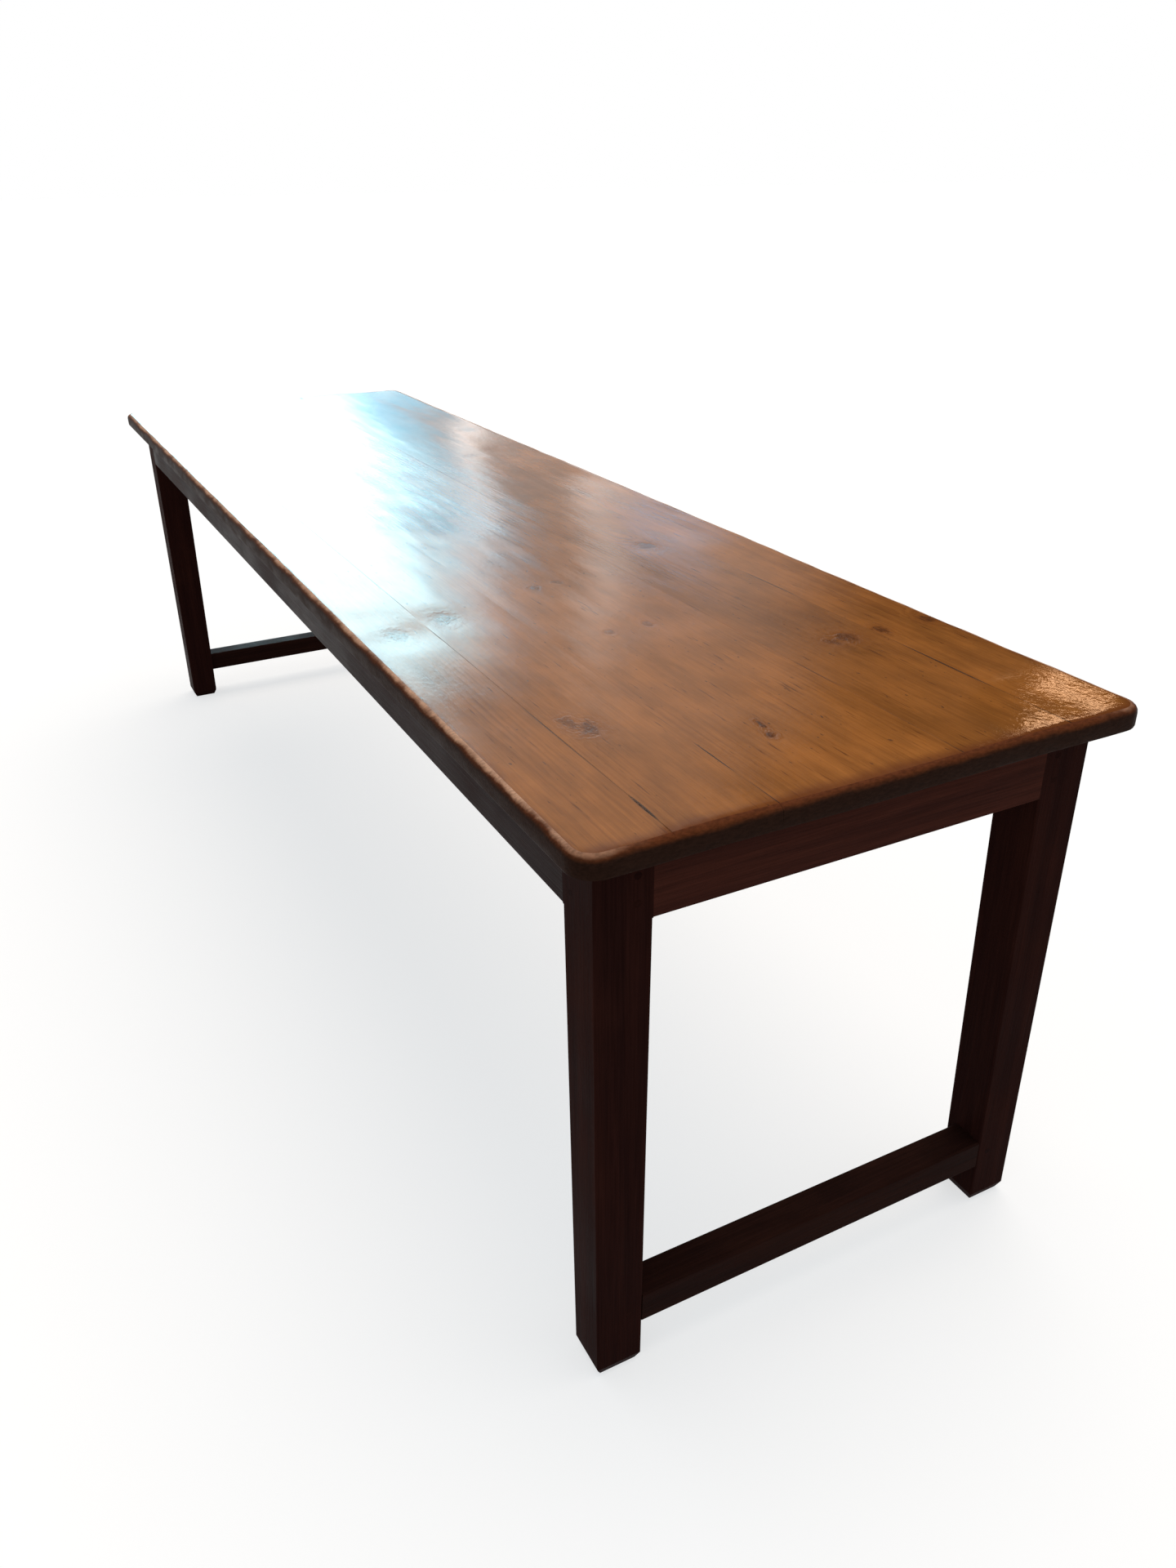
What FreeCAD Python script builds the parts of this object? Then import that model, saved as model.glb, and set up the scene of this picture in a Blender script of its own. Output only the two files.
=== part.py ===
import FreeCAD, Part
import os

from FreeCAD import Placement, Rotation, Vector
from math import cos, pi, sin

# Refectory table, in millimetres: a long pine top on a dark stained frame of four square legs.
# The origin is on the floor under the middle of the table. X runs along the table, with the right
# end at +X. The front long side faces -Y, and Z is up.

# Overall sizes
TABLE_HEIGHT = 760.0
TOP_LENGTH = 2550.0
TOP_THICKNESS = 26.0
BOARD_WIDTHS = (103.0, 120.0, 235.0, 155.0, 115.0)  # from the front edge to the back edge
END_OVERHANG = 42.0   # top beyond the legs at each end
SIDE_OVERHANG = 37.0  # top beyond the legs along each side

# Worn edges of the top
TOP_CORNER_RADIUS = 30.0
TOP_UPPER_ROUND = 9.0
TOP_LOWER_ROUND = 3.0
SEAM_EASE = 0.8       # depth of the worn vee along each seam

# Joints between the boards: a loose tongue in a stopped groove
SEAM_GAP = 0.2
TONGUE_WIDTH = 20.0
TONGUE_THICKNESS = 8.0
TONGUE_STOP = 70.0    # solid wood left at each end of the groove
TONGUE_FIT = 0.1
TONGUE_END_GAP = 0.5

# Legs, tapered on their two inner faces below the rails
LEG_SIZE = 67.0
LEG_FOOT = 60.0
LEG_ARRIS = 3.0
FOOT_EASE_WIDTH = 6.0    # worn bevel round the sole
FOOT_EASE_HEIGHT = 14.0

# Rails, flush with the outer faces of the legs
RAIL_DEPTH = 88.0
RAIL_THICKNESS = 28.0
RAIL_ARRIS = 2.0

# Haunched tenons of the rails
TENON_SETBACK = 9.0   # from the rail's outer face
TENON_THICKNESS = 10.0
TENON_SHOULDER = 8.0  # below the tenon
TENON_WEB = 3.0       # wood between the two tenons that meet in a leg
HAUNCH_HEIGHT = 20.0
HAUNCH_LENGTH = 12.0
MORTISE_FIT = 0.15
MORTISE_END_GAP = 1.5

# Pegs through the tenons, whittled eight-sided, in holes that take their shape
PEG_RADIUS = 4.5      # to the corners
PEG_FIT = 0.05
PEG_FROM_SHOULDER = 18.0
PEG_INSET = 14.0      # from the tenon's upper and lower edges
PEG_BEYOND = 14.0     # how far a peg runs on past its tenon

# Stretchers between the legs of each end
STRETCHER_SIZE = 45.0
STRETCHER_UNDERSIDE = 67.0
STRETCHER_ARRIS = 3.0
STRETCHER_TENON_THICKNESS = 15.0
STRETCHER_TENON_SHOULDER = 8.0  # above and below the tenon
STRETCHER_TENON_COVER = 20.0    # wood left in the leg beyond the tenon

# Bearers across the frame, stub-tenoned into the side rails
BEARER_COUNT = 3
BEARER_WIDTH = 45.0
BEARER_DEPTH = 60.0
BEARER_TENON_THICKNESS = 16.0
BEARER_TENON_SHOULDER = 10.0
BEARER_TENON_LENGTH = 12.0

# Buttons that hold the top down, with a tongue in a groove along the rails
BUTTON_LENGTH = 34.0
BUTTON_WIDTH = 30.0
BUTTON_THICKNESS = 22.0
BUTTON_BEVEL = 7.0
BUTTON_STANDOFF = 2.0
BUTTON_FIT = 0.2
GROOVE_LIP = 12.0     # wood above the groove
GROOVE_DEPTH = 10.0
GROOVE_END_GAP = 2.0

# Wood screws up into the top, drawn eight-sided because they repeat
SCREW_RADIUS = 2.25
SCREW_BITE = 15.0
SCREW_POINT = 6.0
SCREW_FIT = 0.1
SCREW_HOLE_END_GAP = 1.0
HEAD_RADIUS = 4.4
HEAD_HEIGHT = 3.0
HEAD_DOME = 0.6       # width of the head's flat crown as a share of its seat
POCKET_RADIUS = 6.0   # hole under each bearer that takes the screw's head
POCKET_DEPTH = 35.0

# Places worked out from the sizes above
TOP_WIDTH = sum(BOARD_WIDTHS)
RAIL_TOP = TABLE_HEIGHT - TOP_THICKNESS
RAIL_BOTTOM = RAIL_TOP - RAIL_DEPTH
LEG_OUTER_X = TOP_LENGTH / 2 - END_OVERHANG
LEG_OUTER_Y = TOP_WIDTH / 2 - SIDE_OVERHANG
LEG_INNER_X = LEG_OUTER_X - LEG_SIZE
LEG_INNER_Y = LEG_OUTER_Y - LEG_SIZE
TENON_LENGTH = LEG_SIZE - TENON_SETBACK - TENON_THICKNESS - TENON_WEB
STRETCHER_TENON_SETBACK = (STRETCHER_SIZE - STRETCHER_TENON_THICKNESS) / 2
BEARER_BAY = 2 * LEG_INNER_X / (BEARER_COUNT + 1)

Z_AXIS = Vector(0, 0, 1)
ORIGIN = Vector(0, 0, 0)
SIDES_OF_A_PEG = 8
ALONG_AXIS = 0.995      # cosine of the widest angle at which an edge counts as along an axis
LEVEL_TOLERANCE = 1e-6

# Each rail is drawn along X with its outer face on Y = 0, then turned about Z and moved to its side
SIDES = {
    "front": (180, Vector(0, -LEG_OUTER_Y, 0)),
    "back": (0, Vector(0, LEG_OUTER_Y, 0)),
    "right": (-90, Vector(LEG_OUTER_X, 0, 0)),
    "left": (90, Vector(-LEG_OUTER_X, 0, 0)),
}


def block(low, high):
    """Rectangular solid between two opposite corners."""
    size = [far - near for near, far in zip(low, high)]
    return Part.makeBox(*size, Vector(*low))


def prism(points, sweep):
    """Solid swept from a closed outline of straight edges."""
    corners = [Vector(*point) for point in points]
    outline = Part.makePolygon(corners + corners[:1])
    return Part.Face(outline).extrude(Vector(*sweep))


def edges_along(shape, axis):
    """Straight edges that run along an axis, or within a few degrees of it."""
    found = []
    for edge in shape.Edges:
        run = edge.Vertexes[-1].Point - edge.Vertexes[0].Point
        if run.Length > 0 and abs(run.normalize().dot(axis)) > ALONG_AXIS:
            found.append(edge)
    return found


def edges_at_height(shape, height):
    """Edges that lie level at one height."""
    found = []
    for edge in shape.Edges:
        box = edge.BoundBox
        if max(abs(box.ZMin - height), abs(box.ZMax - height)) < LEVEL_TOLERANCE:
            found.append(edge)
    return found


def placed(shape, side):
    """Copy of a shape drawn in the rail's own frame, moved to one side of the table."""
    turn, move = SIDES[side]
    copy = shape.copy()
    copy.rotate(ORIGIN, Z_AXIS, turn)
    copy.translate(move)
    return copy


def leg_width(height):
    """Width of a leg's tapered part at a height above the floor."""
    return LEG_FOOT + (LEG_SIZE - LEG_FOOT) * height / RAIL_BOTTOM


def board_edges():
    """Y of the top's front edge, of each seam and of its back edge."""
    edges = [-TOP_WIDTH / 2]
    for width in BOARD_WIDTHS:
        edges.append(edges[-1] + width)
    return edges


def inner_board_centres():
    """Y of the middle of each board between the two that lie on the side rails."""
    seams = board_edges()[1:-1]
    return [(near + far) / 2 for near, far in zip(seams, seams[1:])]


def bearer_places():
    """X of each bearer, evenly spaced between the legs."""
    return [BEARER_BAY * (number + 1) - LEG_INNER_X for number in range(BEARER_COUNT)]


def rail_tenons(half_length, fit=0.0, end_gap=0.0):
    """The haunched tenons at both ends of a rail, or with a fit, the mortises that take them."""
    inner = -TENON_SETBACK - TENON_THICKNESS - fit
    outer = -TENON_SETBACK + fit
    haunch_foot = RAIL_TOP - HAUNCH_HEIGHT
    reach = half_length + TENON_LENGTH + end_gap
    haunch_reach = half_length + HAUNCH_LENGTH + end_gap
    blade = block((-reach, inner, RAIL_BOTTOM + TENON_SHOULDER - fit), (reach, outer, haunch_foot + fit))
    haunch = block((-haunch_reach, inner, haunch_foot), (haunch_reach, outer, RAIL_TOP))
    return blade.fuse(haunch)


def ring(radius, height):
    """Eight-sided outline around the Z axis."""
    angles = [2 * pi * number / SIDES_OF_A_PEG for number in range(SIDES_OF_A_PEG)]
    corners = [Vector(radius * cos(angle), radius * sin(angle), height) for angle in angles]
    return Part.makePolygon(corners + corners[:1])


def whittled(radius, length, start=ORIGIN, direction=Z_AXIS):
    """Eight-sided rod, for a peg, a screw's shank or the hole of either."""
    rod = Part.Face(ring(radius, 0)).extrude(Vector(0, 0, length))
    rod.Placement = Placement(start, Rotation(Z_AXIS, direction))
    return rod


def rail_pegs(half_length, radius):
    """Two pegs at each end of a rail, driven in from its outer face."""
    length = TENON_SETBACK + TENON_THICKNESS + PEG_BEYOND
    heights = (RAIL_BOTTOM + TENON_SHOULDER + PEG_INSET, RAIL_TOP - HAUNCH_HEIGHT - PEG_INSET)
    pegs = []
    for end in (-1, 1):
        for height in heights:
            start = Vector(end * (half_length + PEG_FROM_SHOULDER), 0, height)
            pegs.append(whittled(radius, length, start, Vector(0, -1, 0)))
    return pegs


def button_outline(place):
    """Side profile of a button: a bevelled block with a tongue towards the rail."""
    face = -RAIL_THICKNESS - BUTTON_STANDOFF
    tail = face - BUTTON_LENGTH
    tip = -RAIL_THICKNESS + GROOVE_DEPTH - GROOVE_END_GAP
    foot = RAIL_TOP - BUTTON_THICKNESS
    tongue_top = RAIL_TOP - GROOVE_LIP - BUTTON_FIT
    start = place - BUTTON_WIDTH / 2
    return [
        (start, tail + BUTTON_BEVEL, foot),
        (start, tip, foot),
        (start, tip, tongue_top),
        (start, face, tongue_top),
        (start, face, RAIL_TOP),
        (start, tail, RAIL_TOP),
        (start, tail, foot + BUTTON_BEVEL),
    ]


def wood_screw(length):
    """Screw with the seat of its head at the origin and its point up."""
    head = Part.makeLoft([ring(HEAD_RADIUS * HEAD_DOME, -HEAD_HEIGHT), ring(HEAD_RADIUS, 0)], True, True)
    shank = whittled(SCREW_RADIUS, length - SCREW_POINT)
    tip = Part.Vertex(Vector(0, 0, length))
    point = Part.makeLoft([ring(SCREW_RADIUS, length - SCREW_POINT), tip], True, True)
    return head.fuse([shank, point]).removeSplitter()


def screw_hole(length):
    """Hole that takes a screw's shank."""
    return whittled(SCREW_RADIUS + SCREW_FIT, length + SCREW_HOLE_END_GAP)


def button_places():
    """Side of the table and place along its rail of every button."""
    bays = [BEARER_BAY * (number + 0.5) - LEG_INNER_X for number in range(BEARER_COUNT + 1)]
    places = [(side, place) for side in ("front", "back") for place in bays]
    places += [("right", -place) for place in inner_board_centres()]
    places += [("left", place) for place in inner_board_centres()]
    return places


def on_button_screws(shape):
    """Copies of a shape at the seat of every button's screw."""
    across = -RAIL_THICKNESS - BUTTON_STANDOFF - BUTTON_LENGTH / 2
    copies = []
    for side, place in button_places():
        copy = shape.copy()
        copy.translate(Vector(place, across, RAIL_TOP - BUTTON_THICKNESS))
        copies.append(placed(copy, side))
    return copies


def on_bearer_screws(shape):
    """Copies of a shape at the seat of every screw in the bearers, one under each inner board."""
    copies = []
    for place in bearer_places():
        for centre in inner_board_centres():
            copy = shape.copy()
            copy.translate(Vector(place, centre, RAIL_TOP - BEARER_DEPTH + POCKET_DEPTH))
            copies.append(copy)
    return copies


def build_screws():
    """Screws of the buttons and bearers, and the holes that take them."""
    button_length = BUTTON_THICKNESS + SCREW_BITE
    bearer_length = BEARER_DEPTH - POCKET_DEPTH + SCREW_BITE
    screws = {
        "button_screws": Part.makeCompound(on_button_screws(wood_screw(button_length))),
        "bearer_screws": Part.makeCompound(on_bearer_screws(wood_screw(bearer_length))),
    }
    holes = on_button_screws(screw_hole(button_length)) + on_bearer_screws(screw_hole(bearer_length))
    return screws, Part.makeCompound(holes)


def build_top(screw_holes):
    """The boards of the top and the loose tongues between them."""
    end = TOP_LENGTH / 2
    side = TOP_WIDTH / 2
    slab = block((-end, -side, RAIL_TOP), (end, side, TABLE_HEIGHT))
    slab = slab.makeFillet(TOP_CORNER_RADIUS, edges_along(slab, Z_AXIS))
    slab = slab.makeFillet(TOP_UPPER_ROUND, edges_at_height(slab, TABLE_HEIGHT))
    slab = slab.makeFillet(TOP_LOWER_ROUND, edges_at_height(slab, RAIL_TOP))

    edges = board_edges()
    middle = (RAIL_TOP + TABLE_HEIGHT) / 2
    tongue_end = end - TONGUE_STOP
    tongues = {}
    cuts = [screw_holes]
    for number, seam in enumerate(edges[1:-1], 1):
        reach = TONGUE_WIDTH / 2
        half = TONGUE_THICKNESS / 2
        tongue = block((-tongue_end, seam - reach, middle - half), (tongue_end, seam + reach, middle + half))
        tongues[f"top_tongue_{number}"] = tongue.cut(screw_holes)
        stop = tongue_end + TONGUE_END_GAP
        reach += TONGUE_END_GAP
        half += TONGUE_FIT
        cuts.append(block((-stop, seam - reach, middle - half), (stop, seam + reach, middle + half)))
        vee = [
            (-end, seam - 2 * SEAM_EASE, TABLE_HEIGHT + SEAM_EASE),
            (-end, seam, TABLE_HEIGHT - SEAM_EASE),
            (-end, seam + 2 * SEAM_EASE, TABLE_HEIGHT + SEAM_EASE),
        ]
        cuts.append(prism(vee, (TOP_LENGTH, 0, 0)))

    boards = {}
    for number, (near, far) in enumerate(zip(edges, edges[1:]), 1):
        low = (-end, near + SEAM_GAP / 2 if number > 1 else near, RAIL_TOP)
        high = (end, far - SEAM_GAP / 2 if number < len(BOARD_WIDTHS) else far, TABLE_HEIGHT)
        boards[f"top_board_{number}"] = slab.common(block(low, high)).cut(cuts)
    return boards, tongues


def build_rail(half_length, bearers):
    """One rail in its own frame: body, haunched tenons, button groove and the bearers' mortises."""
    inner = -RAIL_THICKNESS
    body = block((-half_length, inner, RAIL_BOTTOM), (half_length, 0, RAIL_TOP))
    lower = [edge for edge in edges_along(body, Vector(1, 0, 0)) if edge.BoundBox.ZMax < RAIL_TOP]
    body = body.makeFillet(RAIL_ARRIS, lower)
    groove = block(
        (-half_length, inner, RAIL_TOP - BUTTON_THICKNESS - BUTTON_FIT),
        (half_length, inner + GROOVE_DEPTH, RAIL_TOP - GROOVE_LIP),
    )
    rail = body.cut(groove)
    for place in bearers:
        half = BEARER_TENON_THICKNESS / 2 + MORTISE_FIT
        foot = RAIL_TOP - BEARER_DEPTH + BEARER_TENON_SHOULDER - MORTISE_FIT
        head = RAIL_TOP - BEARER_TENON_SHOULDER + MORTISE_FIT
        depth = inner + BEARER_TENON_LENGTH + MORTISE_END_GAP
        rail = rail.cut(block((place - half, inner, foot), (place + half, depth, head)))
    ends = rail_tenons(half_length).cut(block((-half_length, inner, 0), (half_length, 0, TABLE_HEIGHT)))
    return rail.fuse(ends).cut(rail_pegs(half_length, PEG_RADIUS + PEG_FIT)).removeSplitter()


def stretcher_tenons(fit=0.0, end_gap=0.0):
    """Both tenons of the right-hand stretcher as one bar, or with a fit, their mortises."""
    outer = LEG_OUTER_X - STRETCHER_TENON_SETBACK + fit
    inner = outer - STRETCHER_TENON_THICKNESS - 2 * fit
    reach = LEG_OUTER_Y - STRETCHER_TENON_COVER + end_gap
    foot = STRETCHER_UNDERSIDE + STRETCHER_TENON_SHOULDER - fit
    head = STRETCHER_UNDERSIDE + STRETCHER_SIZE - STRETCHER_TENON_SHOULDER + fit
    return block((inner, -reach, foot), (outer, reach, head))


def stretcher_pegs(radius):
    """One peg at each end of the right-hand stretcher."""
    middle = STRETCHER_UNDERSIDE + STRETCHER_SIZE / 2
    across = LEG_OUTER_Y - leg_width(middle) + PEG_FROM_SHOULDER
    length = STRETCHER_TENON_SETBACK + STRETCHER_TENON_THICKNESS + PEG_BEYOND
    pegs = []
    for end in (-1, 1):
        start = Vector(LEG_OUTER_X, end * across, middle)
        pegs.append(whittled(radius, length, start, Vector(-1, 0, 0)))
    return pegs


def build_stretcher():
    """The right-hand stretcher, with shoulders that follow the taper of the legs."""
    foot = STRETCHER_UNDERSIDE
    head = STRETCHER_UNDERSIDE + STRETCHER_SIZE
    low = LEG_OUTER_Y - leg_width(foot)
    high = LEG_OUTER_Y - leg_width(head)
    inner = LEG_OUTER_X - STRETCHER_SIZE
    outline = [(inner, -low, foot), (inner, low, foot), (inner, high, head), (inner, -high, head)]
    bar = prism(outline, (STRETCHER_SIZE, 0, 0))
    bar = bar.makeFillet(STRETCHER_ARRIS, edges_along(bar, Vector(0, 1, 0)))
    return bar.fuse(stretcher_tenons()).cut(stretcher_pegs(PEG_RADIUS + PEG_FIT)).removeSplitter()


def leg_wedge(points):
    """A cut across the back right leg, from an outline in X and Z, and the same cut on its other face."""
    wedge = prism([(x, LEG_INNER_Y, z) for x, z in points], (0, LEG_SIZE, 0))
    return [wedge, wedge.mirror(Vector(LEG_OUTER_X, LEG_OUTER_Y, 0), Vector(1, -1, 0))]


def build_leg():
    """The back right leg: square head, tapered shaft, bevelled foot, mortises and peg holes."""
    shaft = block((LEG_INNER_X, LEG_INNER_Y, 0), (LEG_OUTER_X, LEG_OUTER_Y, RAIL_BOTTOM))
    foot_inner = LEG_OUTER_X - LEG_FOOT
    shaft = shaft.cut(leg_wedge([(LEG_INNER_X, 0), (foot_inner, 0), (LEG_INNER_X, RAIL_BOTTOM)]))
    shaft = shaft.makeFillet(LEG_ARRIS, edges_along(shaft, Z_AXIS))
    for face, outward in ((LEG_OUTER_X, FOOT_EASE_WIDTH), (foot_inner, -FOOT_EASE_WIDTH)):
        past_face = face + outward
        bevel = [(face - outward, 0), (past_face, 0), (past_face, 2 * FOOT_EASE_HEIGHT)]
        shaft = shaft.cut(leg_wedge(bevel))
    head = block((LEG_INNER_X, LEG_INNER_Y, RAIL_BOTTOM), (LEG_OUTER_X, LEG_OUTER_Y, RAIL_TOP))
    corner = max(edges_along(head, Z_AXIS), key=lambda edge: edge.BoundBox.XMin + edge.BoundBox.YMin)
    head = head.makeFillet(LEG_ARRIS, [corner])
    cuts = [stretcher_tenons(MORTISE_FIT, MORTISE_END_GAP)]
    cuts += stretcher_pegs(PEG_RADIUS + PEG_FIT)
    for side, half_length in (("back", LEG_INNER_X), ("right", LEG_INNER_Y)):
        cuts.append(placed(rail_tenons(half_length, MORTISE_FIT, MORTISE_END_GAP), side))
        cuts += [placed(peg, side) for peg in rail_pegs(half_length, PEG_RADIUS + PEG_FIT)]
    return shaft.fuse(head).cut(cuts).removeSplitter()


def build_bearer(place, screw_holes):
    """A bearer with stub tenons, and a deep pocket under each of its screws."""
    half = BEARER_WIDTH / 2
    side = LEG_OUTER_Y - RAIL_THICKNESS
    foot = RAIL_TOP - BEARER_DEPTH
    bar = block((place - half, -side, foot), (place + half, side, RAIL_TOP))
    half = BEARER_TENON_THICKNESS / 2
    side += BEARER_TENON_LENGTH
    tenons = block(
        (place - half, -side, foot + BEARER_TENON_SHOULDER),
        (place + half, side, RAIL_TOP - BEARER_TENON_SHOULDER),
    )
    pockets = []
    for centre in inner_board_centres():
        pockets.append(whittled(POCKET_RADIUS, POCKET_DEPTH, Vector(place, centre, foot)))
    return bar.fuse(tenons).cut(pockets + [screw_holes]).removeSplitter()


def build_buttons(screw_holes):
    """Every button, in place under the top."""
    buttons = []
    for side, place in button_places():
        button = prism(button_outline(place), (BUTTON_WIDTH, 0, 0))
        buttons.append(placed(button, side).cut(screw_holes))
    return Part.makeCompound(buttons)


def build_pegs():
    """Every peg of the rails and stretchers."""
    side_pegs = []
    end_pegs = []
    for peg in rail_pegs(LEG_INNER_X, PEG_RADIUS):
        side_pegs += [placed(peg, "front"), placed(peg, "back")]
    for peg in rail_pegs(LEG_INNER_Y, PEG_RADIUS):
        end_pegs += [placed(peg, "left"), placed(peg, "right")]
    low_pegs = stretcher_pegs(PEG_RADIUS)
    low_pegs += [peg.mirror(ORIGIN, Vector(1, 0, 0)) for peg in low_pegs]
    return {
        "side_rail_pegs": Part.makeCompound(side_pegs),
        "end_rail_pegs": Part.makeCompound(end_pegs),
        "stretcher_pegs": Part.makeCompound(low_pegs),
    }


def build_table():
    """Every node of the table by name."""
    nodes, screw_holes = build_screws()
    boards, tongues = build_top(screw_holes)
    nodes.update(boards)
    nodes.update(tongues)
    nodes.update(build_pegs())
    nodes["top_buttons"] = build_buttons(screw_holes)

    side_rail = build_rail(LEG_INNER_X, bearer_places())
    end_rail = build_rail(LEG_INNER_Y, [])
    for side in ("front", "back"):
        nodes[f"side_rail_{side}"] = placed(side_rail, side)
    for side in ("left", "right"):
        nodes[f"end_rail_{side}"] = placed(end_rail, side)

    stretcher = build_stretcher()
    nodes["end_stretcher_right"] = stretcher
    nodes["end_stretcher_left"] = stretcher.mirror(ORIGIN, Vector(1, 0, 0))

    leg = build_leg()
    left_leg = leg.mirror(ORIGIN, Vector(1, 0, 0))
    nodes["leg_back_right"] = leg
    nodes["leg_back_left"] = left_leg
    nodes["leg_front_right"] = leg.mirror(ORIGIN, Vector(0, 1, 0))
    nodes["leg_front_left"] = left_leg.mirror(ORIGIN, Vector(0, 1, 0))

    for number, place in enumerate(bearer_places(), 1):
        nodes[f"cross_bearer_{number}"] = build_bearer(place, screw_holes)
    return nodes


os.makedirs("parts", exist_ok=True)
for name, shape in build_table().items():
    solids = shape.Solids
    print(f"{name}: {len(solids)} solid(s), {shape.Volume / 1000:.1f} cm3, valid {shape.isValid()}")
    shape.exportStep(f"parts/{name}.step")
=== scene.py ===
# %% [markdown]
# # A refectory table in old pine
# The table has a long top of five waxed pine boards on a frame stained almost black.
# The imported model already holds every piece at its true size, so this lesson loads it as a fixed
# frame and then works on what the eye sees: worn boards, wood grain, stain, wax and light.

import math
from types import SimpleNamespace

import bmesh
import bpy
from mathutils import Matrix, Quaternion, Vector


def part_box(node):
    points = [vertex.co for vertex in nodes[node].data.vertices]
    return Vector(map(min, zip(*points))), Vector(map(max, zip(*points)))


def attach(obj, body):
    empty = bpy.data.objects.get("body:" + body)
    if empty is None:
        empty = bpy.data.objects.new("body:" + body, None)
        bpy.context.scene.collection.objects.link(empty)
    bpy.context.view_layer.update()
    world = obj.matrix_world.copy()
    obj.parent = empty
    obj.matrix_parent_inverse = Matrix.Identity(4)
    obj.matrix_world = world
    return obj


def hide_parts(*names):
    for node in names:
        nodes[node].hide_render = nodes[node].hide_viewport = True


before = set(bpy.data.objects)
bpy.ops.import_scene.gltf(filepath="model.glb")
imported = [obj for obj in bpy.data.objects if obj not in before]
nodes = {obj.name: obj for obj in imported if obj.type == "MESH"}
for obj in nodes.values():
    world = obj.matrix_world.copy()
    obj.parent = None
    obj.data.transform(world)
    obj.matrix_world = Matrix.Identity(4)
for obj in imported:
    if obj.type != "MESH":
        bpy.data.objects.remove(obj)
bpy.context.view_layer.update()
scene = bpy.context.scene

# %% [markdown]
# ## The viewpoint
# The photograph looks down on one corner from just beyond the near end. A camera could be set by
# eye, but the lines of the top, rails and feet fix it much better, so its place, turn and lens
# were worked out from them. A camera looks along its own -Z axis with +Y up, so a matrix of three
# axes sets it without any guessing about the order of turns. The width of the sensor lies along the
# longer side of the picture, which is its height.

# %% Camera
PHOTO_HEIGHT = 1920
FOCAL_PIXELS = 1469.6
SENSOR_WIDTH = 36
EYE = Vector((2.0903, -0.7718, 1.3069))
TURN = math.radians(27.2)
DIP = math.radians(27.16)
LEAN = math.radians(0.66)

ahead = Vector((-math.cos(DIP) * math.cos(TURN), math.cos(DIP) * math.sin(TURN), -math.sin(DIP)))
across = ahead.cross(Vector((0, 0, 1))).normalized()
downward = ahead.cross(across)
leaning_across = across * math.cos(LEAN) + downward * math.sin(LEAN)
leaning_down = downward * math.cos(LEAN) - across * math.sin(LEAN)

eye_data = bpy.data.cameras.new("viewpoint")
eye_data.sensor_width = SENSOR_WIDTH
eye_data.lens = SENSOR_WIDTH * FOCAL_PIXELS / PHOTO_HEIGHT
viewpoint = bpy.data.objects.new("viewpoint", eye_data)
scene.collection.objects.link(viewpoint)
axes = Matrix((leaning_across, -leaning_down, -ahead)).transposed().to_4x4()
viewpoint.matrix_world = Matrix.Translation(EYE) @ axes
scene.camera = viewpoint
print("camera lens", round(eye_data.lens, 2), "mm")

# %% [markdown]
# ## Finishes are built from nodes
# Wood could come from a picture, but a picture stretches over edges and repeats. Here every finish
# is worked out from the place of each point in the table, so grain runs through a board as it does
# in a log. A few small helpers keep the later cells short: they add a node, do sums, move a value
# from one range to another, mix colours and stretch noise into streaks.

# %% Helpers that add nodes and do sums
def add_node(finish, kind, inputs=None, **options):
    """Add a node; an input is linked where it is given a socket, and set where it is given a value."""
    made = finish.node_tree.nodes.new(kind)
    for option, value in options.items():
        setattr(made, option, value)
    for place, value in (inputs or {}).items():
        if isinstance(value, bpy.types.NodeSocket):
            finish.node_tree.links.new(value, made.inputs[place])
        else:
            made.inputs[place].default_value = value
    return made


def work_out(finish, operation, first, second=0.0, clamp=False):
    inputs = {0: first, 1: second}
    return add_node(finish, "ShaderNodeMath", inputs, operation=operation, use_clamp=clamp).outputs[0]


def add_share(finish, whole, part, share):
    """The whole, with a share of one more part added to it."""
    return work_out(finish, "ADD", whole, work_out(finish, "MULTIPLY", part, share))


def vector_work(finish, operation, first, second):
    return add_node(finish, "ShaderNodeVectorMath", {0: first, 1: second}, operation=operation).outputs[0]


def length_of(finish, vector):
    return add_node(finish, "ShaderNodeVectorMath", {0: vector}, operation="LENGTH").outputs["Value"]


def split_axes(finish, place):
    return add_node(finish, "ShaderNodeSeparateXYZ", {0: place}).outputs


print("sums ready")

# %% Helpers for ramps, colours and noise
# sockets of the Mix node when it mixes colours
MIX_SHARE, MIX_FIRST, MIX_SECOND, MIX_RESULT = 0, 6, 7, 2


def ramp_between(finish, value, low, high, at_low=0.0, at_high=1.0):
    inputs = {"Value": value, "From Min": low, "From Max": high, "To Min": at_low, "To Max": at_high}
    return add_node(finish, "ShaderNodeMapRange", inputs, interpolation_type="SMOOTHSTEP").outputs[0]


def opaque(colour):
    """A colour with nothing showing through; a socket stays as it is."""
    return colour if isinstance(colour, bpy.types.NodeSocket) else (*colour, 1.0)


def mix_colours(finish, share, first, second, mode="MIX"):
    inputs = {MIX_SHARE: share, MIX_FIRST: opaque(first), MIX_SECOND: opaque(second)}
    mixer = add_node(finish, "ShaderNodeMix", inputs, data_type="RGBA", blend_type=mode)
    return mixer.outputs[MIX_RESULT]


def tinted(finish, colour, tone):
    return mix_colours(finish, 1.0, colour, tone, "MULTIPLY")


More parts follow.
